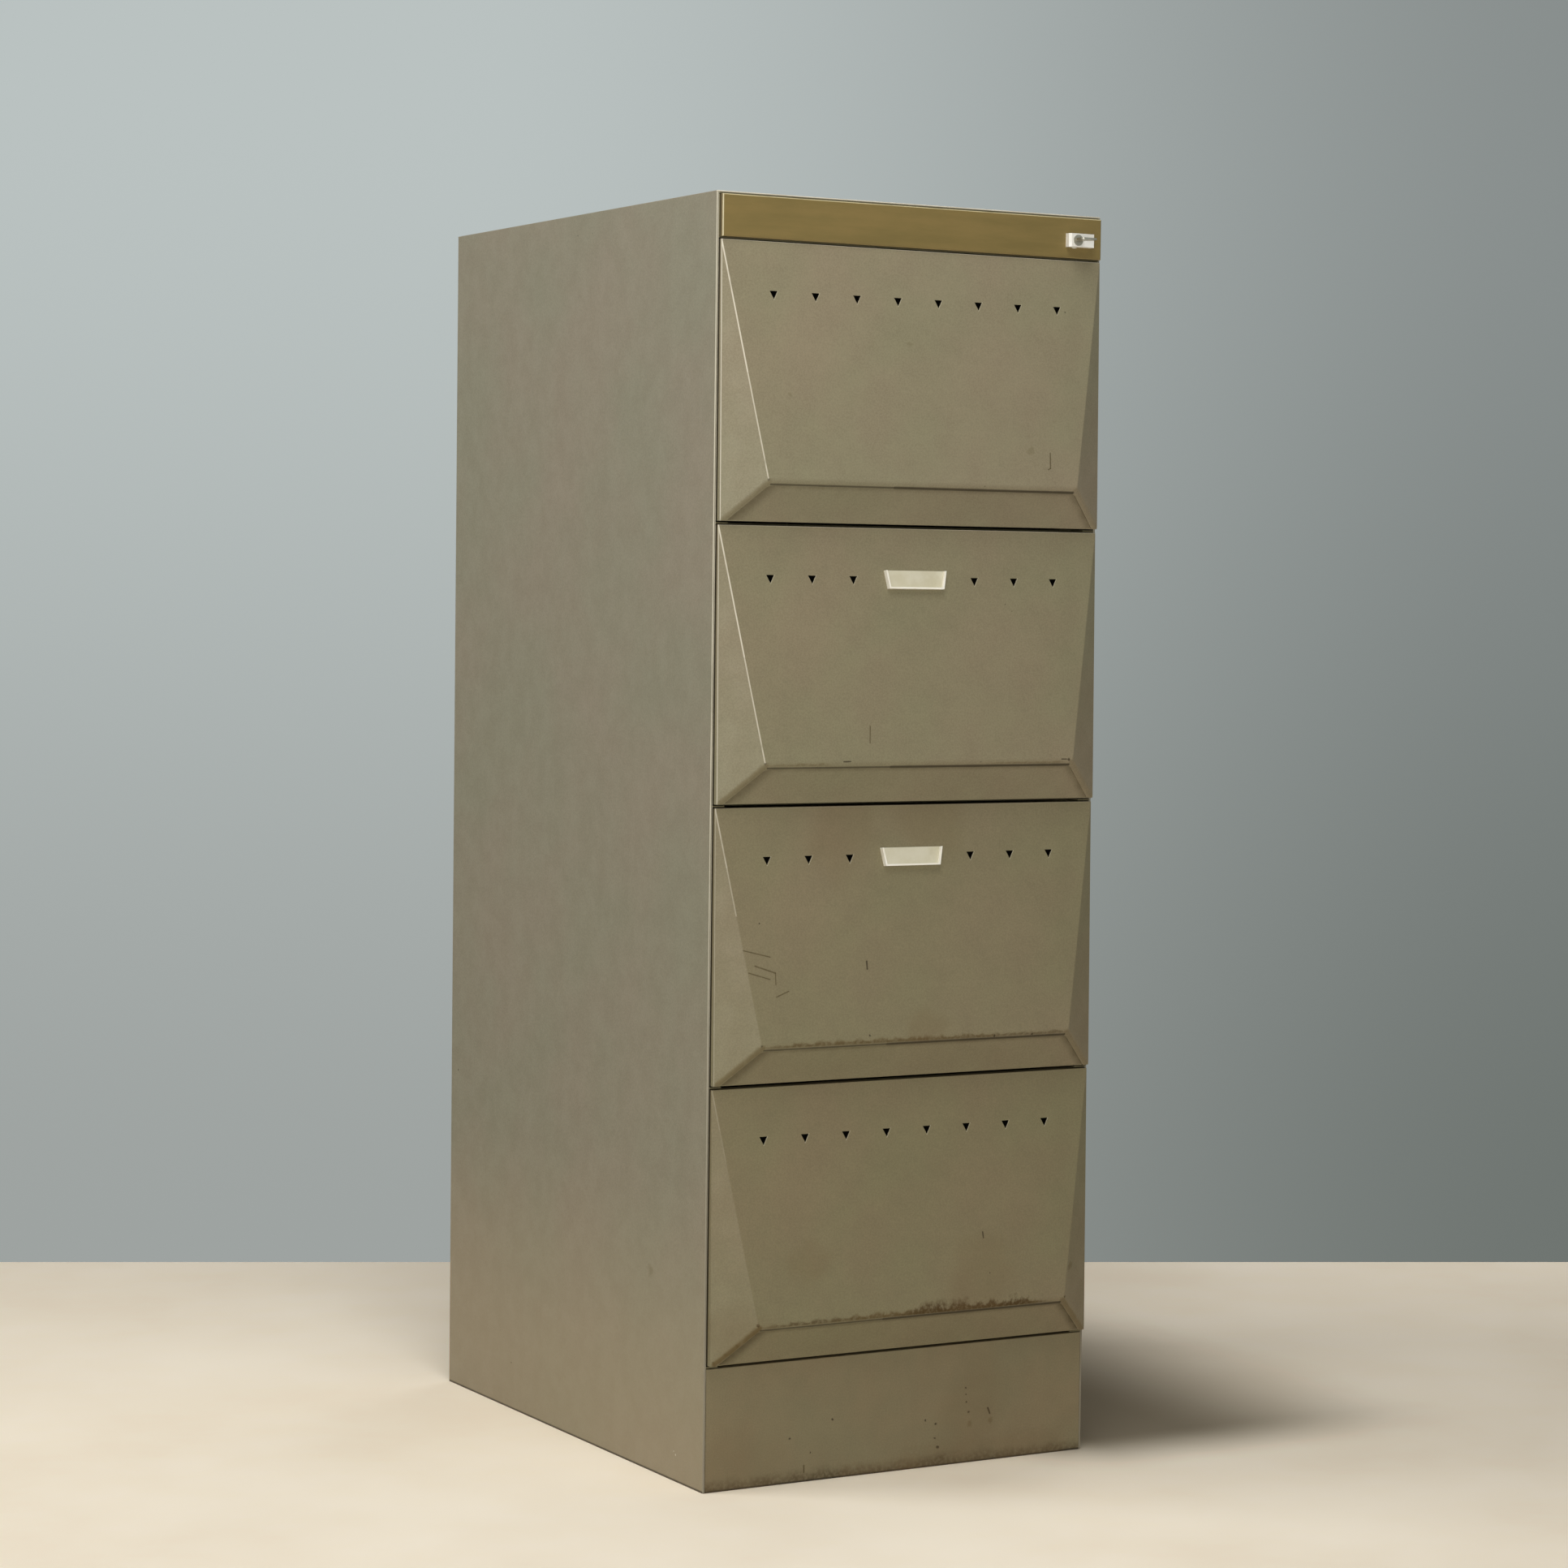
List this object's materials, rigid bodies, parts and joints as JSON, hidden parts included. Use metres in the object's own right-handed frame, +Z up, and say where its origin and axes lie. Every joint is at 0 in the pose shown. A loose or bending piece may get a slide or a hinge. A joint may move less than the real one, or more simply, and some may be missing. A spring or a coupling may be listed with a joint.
{
  "type": "four-drawer filing cabinet",
  "caption": "Tall steel filing cabinet with faceted pull-lip drawer fronts on telescopic slides, marker holes, clip-in label holders and a keyed lock that drives a locking bar.",
  "frame": {"origin": "on the floor, under the middle of the whole object's box, the key in the lock included", "axes": "+X to the cabinet's right as seen from the front, +Y from the drawer fronts to the back, +Z up"},
  "size_m": [0.462, 0.6594, 1.32],
  "materials": {
    "body_paint": "satin baked enamel, taupe",
    "frame_paint": "satin baked enamel, dark olive",
    "band_paint": "olive lacquer with a slight metallic sheen",
    "tray_paint": "satin baked enamel",
    "slide_steel": "zinc plated",
    "hardware_steel": "zinc plated",
    "lock_metal": "bright nickel plate",
    "key_metal": "nickel plated brass, worn",
    "holder_plastic": "ivory moulding",
    "card": "cream card"
  },
  "bodies": {
    "cabinet": {"left_side_panel": "body_paint", "right_side_panel": "body_paint", "back_panel": "body_paint", "top_panel": "body_paint", "plinth_front": "body_paint", "floor_pan": "frame_paint", "top_rail": "frame_paint", "fascia_band": "band_paint", "divider_rails": "frame_paint", "left_front_post": "frame_paint", "right_front_post": "frame_paint", "left_rear_post": "frame_paint", "right_rear_post": "frame_paint", "lock_housing": "lock_metal", "lock_barrel": "lock_metal", "lock_nut": "hardware_steel", "locking_bar_guides": "hardware_steel", "cabinet_slides_1": "slide_steel", "cabinet_slides_2": "slide_steel", "cabinet_slides_3": "slide_steel", "cabinet_slides_4": "slide_steel"},
    "lock_plug": {"lock_plug": "lock_metal", "lock_cam": "hardware_steel"},
    "lock_key": {"lock_key": "key_metal"},
    "locking_bar": {"locking_bar": "hardware_steel", "locking_bar_head": "hardware_steel", "locking_bar_hooks": "hardware_steel"},
    "drawer_1": {"drawer_1_front": "body_paint", "drawer_1_grip": "body_paint", "drawer_1_inner_front": "tray_paint", "drawer_1_tray": "tray_paint", "drawer_1_slides": "slide_steel", "drawer_1_catch": "hardware_steel"},
    "slide_1": {"middle_slides_1": "slide_steel"},
    "drawer_2": {"drawer_2_front": "body_paint", "drawer_2_grip": "body_paint", "drawer_2_inner_front": "tray_paint", "drawer_2_tray": "tray_paint", "drawer_2_slides": "slide_steel", "drawer_2_catch": "hardware_steel", "label_holder_2": "holder_plastic", "label_card_2": "card"},
    "slide_2": {"middle_slides_2": "slide_steel"},
    "drawer_3": {"drawer_3_front": "body_paint", "drawer_3_grip": "body_paint", "drawer_3_inner_front": "tray_paint", "drawer_3_tray": "tray_paint", "drawer_3_slides": "slide_steel", "drawer_3_catch": "hardware_steel", "label_holder_3": "holder_plastic", "label_card_3": "card"},
    "slide_3": {"middle_slides_3": "slide_steel"},
    "drawer_4": {"drawer_4_front": "body_paint", "drawer_4_grip": "body_paint", "drawer_4_inner_front": "tray_paint", "drawer_4_tray": "tray_paint", "drawer_4_slides": "slide_steel", "drawer_4_catch": "hardware_steel"},
    "slide_4": {"middle_slides_4": "slide_steel"}
  },
  "joints": [
    {"name": "lock_turn", "type": "hinge", "parent": "cabinet", "child": "lock_plug", "pos_m": [0.1936, -0.3, 1.2925], "axis": [0, 1, 0], "range_deg": [0, 90]},
    {"name": "key_pull", "type": "slide", "parent": "lock_plug", "child": "lock_key", "axis": [0, -1, 0], "range_m": [0, 0.03]},
    {"name": "locking_bar_drop", "type": "slide", "parent": "cabinet", "child": "locking_bar", "axis": [0, 0, -1], "range_m": [0, 0.014]},
    {"name": "drawer_1_pull", "type": "slide", "parent": "cabinet", "child": "drawer_1", "axis": [0, -1, 0], "range_m": [0, 0.55]},
    {"name": "slide_1_travel", "type": "slide", "parent": "cabinet", "child": "slide_1", "axis": [0, -1, 0], "range_m": [0, 0.2751]},
    {"name": "drawer_2_pull", "type": "slide", "parent": "cabinet", "child": "drawer_2", "axis": [0, -1, 0], "range_m": [0, 0.55]},
    {"name": "slide_2_travel", "type": "slide", "parent": "cabinet", "child": "slide_2", "axis": [0, -1, 0], "range_m": [0, 0.2751]},
    {"name": "drawer_3_pull", "type": "slide", "parent": "cabinet", "child": "drawer_3", "axis": [0, -1, 0], "range_m": [0, 0.55]},
    {"name": "slide_3_travel", "type": "slide", "parent": "cabinet", "child": "slide_3", "axis": [0, -1, 0], "range_m": [0, 0.2751]},
    {"name": "drawer_4_pull", "type": "slide", "parent": "cabinet", "child": "drawer_4", "axis": [0, -1, 0], "range_m": [0, 0.55]},
    {"name": "slide_4_travel", "type": "slide", "parent": "cabinet", "child": "slide_4", "axis": [0, -1, 0], "range_m": [0, 0.2751]}
  ],
  "couplings": [
    {"joint": "lock_turn", "follows": "locking_bar_drop", "rad_per_m": 112.19},
    {"joint": "slide_1_travel", "follows": "drawer_1_pull", "ratio": 0.5},
    {"joint": "slide_2_travel", "follows": "drawer_2_pull", "ratio": 0.5},
    {"joint": "slide_3_travel", "follows": "drawer_3_pull", "ratio": 0.5},
    {"joint": "slide_4_travel", "follows": "drawer_4_pull", "ratio": 0.5}
  ]
}
